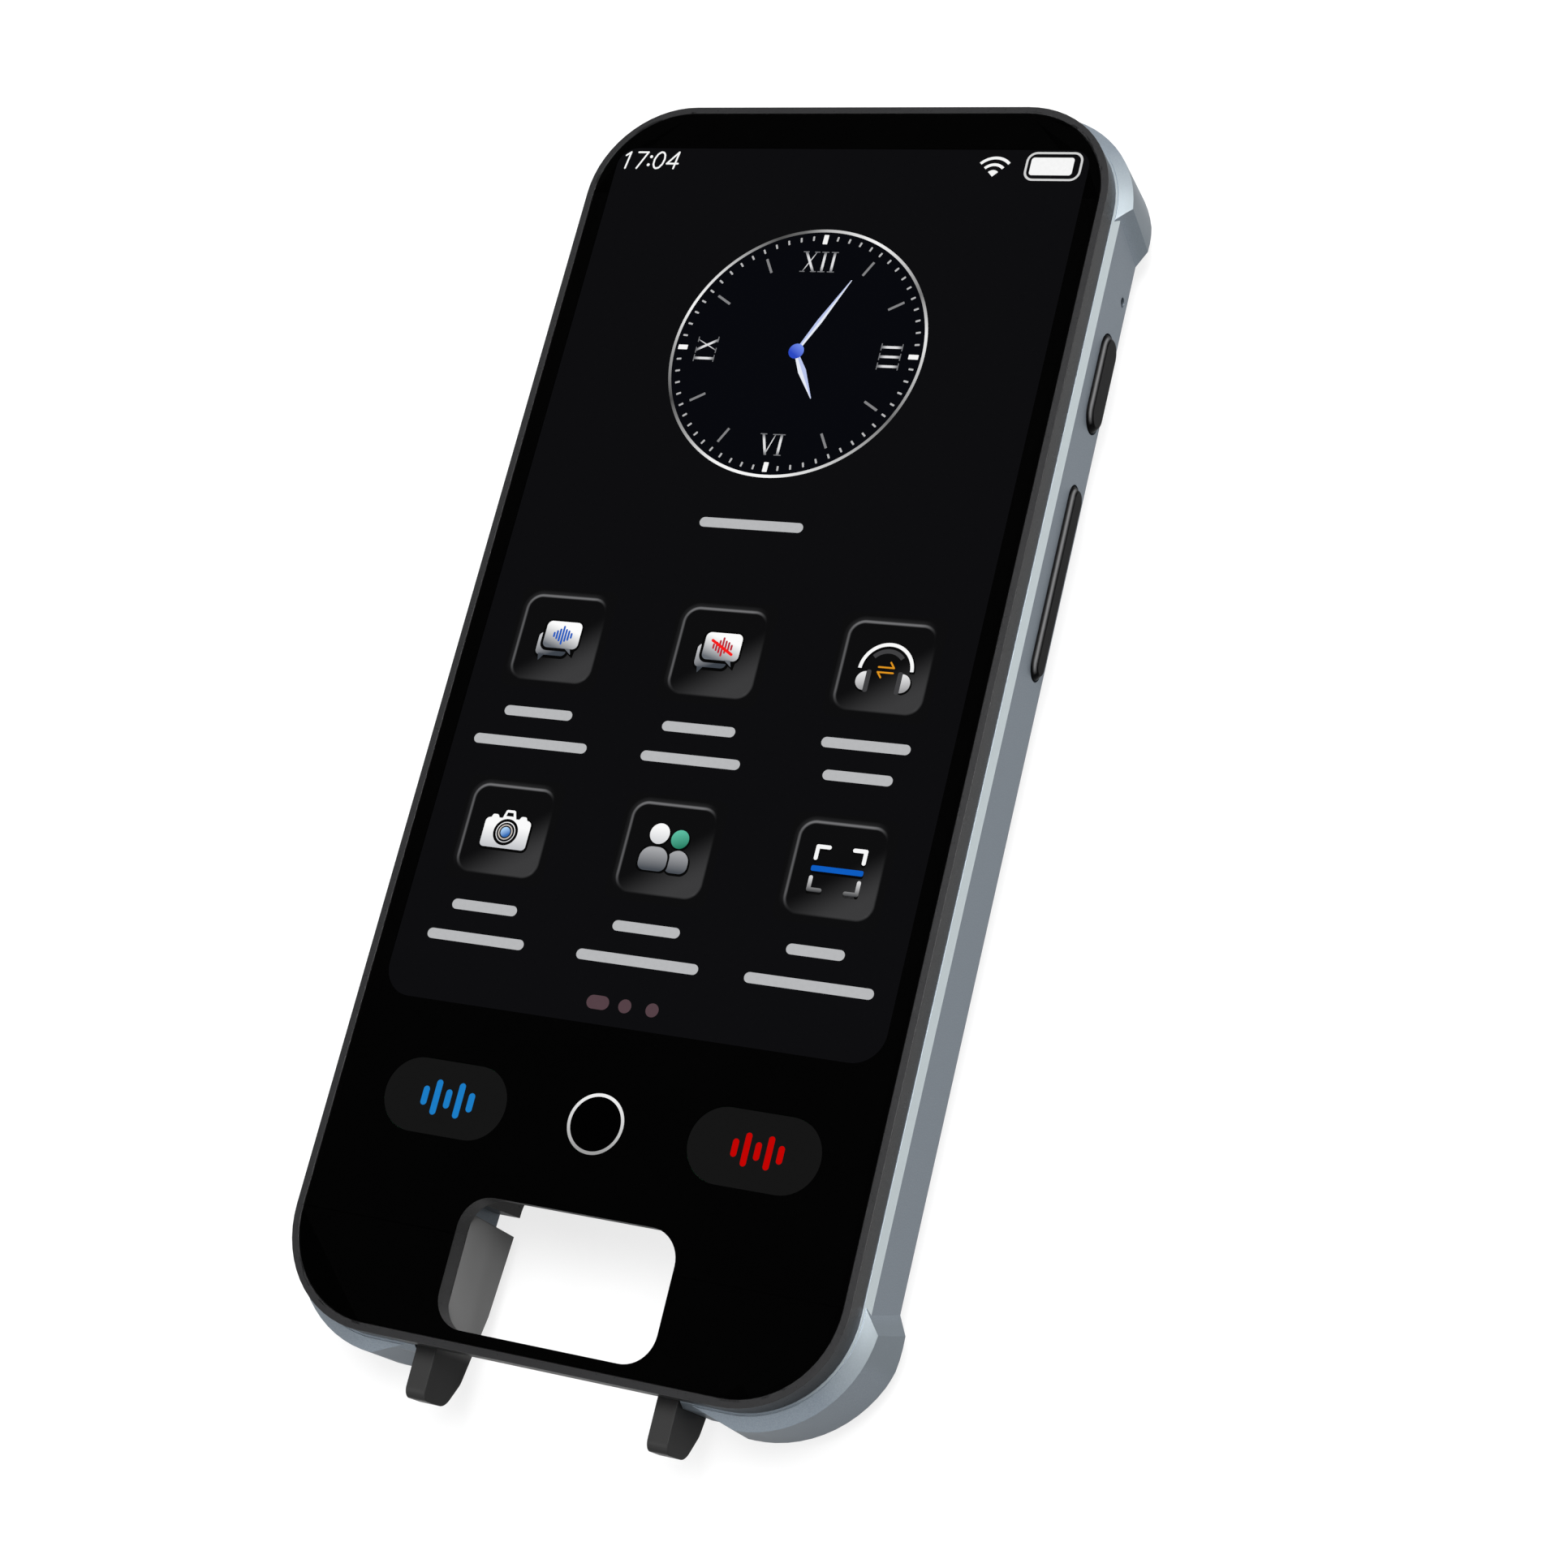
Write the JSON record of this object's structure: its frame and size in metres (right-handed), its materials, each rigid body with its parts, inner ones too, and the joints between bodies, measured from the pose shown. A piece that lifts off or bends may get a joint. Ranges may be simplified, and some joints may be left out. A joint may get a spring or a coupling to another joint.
{
  "type": "handheld translator",
  "caption": "Palm-sized translator with a touch screen, side keys, a grille and camera on its back, and sliding scan feet beside a clear reading window.",
  "frame": {"origin": "middle of the overall length and width, on the plane of the raised grille face that the unit lies on", "axes": "+X to the right across the screen, +Y up the screen towards the sockets, +Z out of the screen"},
  "size_m": [0.0586, 0.1322, 0.0138],
  "materials": {
    "case_grey": "fine satin moulded polycarbonate, bluish grey",
    "grille_grey": "fine satin moulded polycarbonate, bluish grey",
    "frame_black": "dark charcoal moulding, semi-matt",
    "clear_glass": "clear cover glass, polished",
    "black_print": "black ink on the back of the glass",
    "black_tape": "black foam tape",
    "screen": "near-black screen surface",
    "white_film": "white film",
    "flex_amber": "amber flexible circuit",
    "board_green": "green solder mask",
    "key_light": "smoked translucent light guide",
    "liner_black": "black moulding, satin",
    "mesh_black": "black acoustic mesh",
    "foam_black": "black foam",
    "moulded_black": "black moulding",
    "cover_black": "gloss black camera cover",
    "ring_metal": "bright turned metal",
    "lens_glass": "coated lens, blue and violet",
    "tin_plate": "plated sheet steel",
    "battery_grey": "laminated foil pouch",
    "spring_steel": "spring wire",
    "screw_steel": "plated screw steel",
    "yoke_steel": "stamped stainless steel",
    "key_black": "black moulded key, satin gloss",
    "foot_black": "black moulding, satin gloss"
  },
  "bodies": {
    "housing": {"back_shell": "case_grey", "mid_frame": "frame_black", "cover_glass": "clear_glass", "print_mask": "black_print", "glass_tape": "black_tape", "display_panel": "screen", "backlight_unit": "white_film", "display_flex": "flex_amber", "touch_key_board": "board_green", "left_key_light": "key_light", "home_key_light": "key_light", "right_key_light": "key_light", "window_liner": "liner_black", "grille_panel": "grille_grey", "speaker_mesh": "mesh_black", "speaker_gasket": "foam_black", "speaker_unit": "moulded_black", "camera_cover": "cover_black", "camera_trim_ring": "ring_metal", "camera_lens": "lens_glass", "camera_module": "moulded_black", "camera_pad": "foam_black", "main_board": "board_green", "shield_can": "tin_plate", "battery": "battery_grey", "battery_tape": "white_film", "headphone_socket": "moulded_black", "usb_socket": "tin_plate", "side_microphone": "tin_plate", "side_key_board": "flex_amber", "power_switch": "tin_plate", "volume_switches": "tin_plate", "scan_board": "board_green", "scan_camera": "moulded_black", "scan_switch": "tin_plate", "foot_springs": "spring_steel", "vibration_motor": "tin_plate", "antenna_flex": "flex_amber", "frame_screws": "screw_steel", "board_screws": "screw_steel"},
    "scan_feet": {"left_scan_foot": "foot_black", "right_scan_foot": "foot_black", "foot_yoke": "yoke_steel", "yoke_screws": "screw_steel"},
    "power_button": {"power_key": "key_black"},
    "volume_button": {"volume_rocker": "key_black"}
  },
  "joints": [
    {"name": "scan_feet_press", "type": "slide", "parent": "housing", "child": "scan_feet", "axis": [0, 1, 0], "range_m": [0, 0.0008], "stiffness_N_per_m": 1200, "springref_m": -0.0003, "deforming": ["foot_springs"]},
    {"name": "power_key_press", "type": "slide", "parent": "housing", "child": "power_button", "axis": [-1, 0, 0], "range_m": [0, 0.00035], "stiffness_N_per_m": 3000, "springref_m": -0.00005},
    {"name": "volume_rocker_tilt", "type": "hinge", "parent": "housing", "child": "volume_button", "pos_m": [0.02565, 0.0186, 0.00535], "axis": [0, 0, 1], "range_deg": [-1.3, 1.3], "stiffness_Nm_per_rad": 0.3}
  ]
}
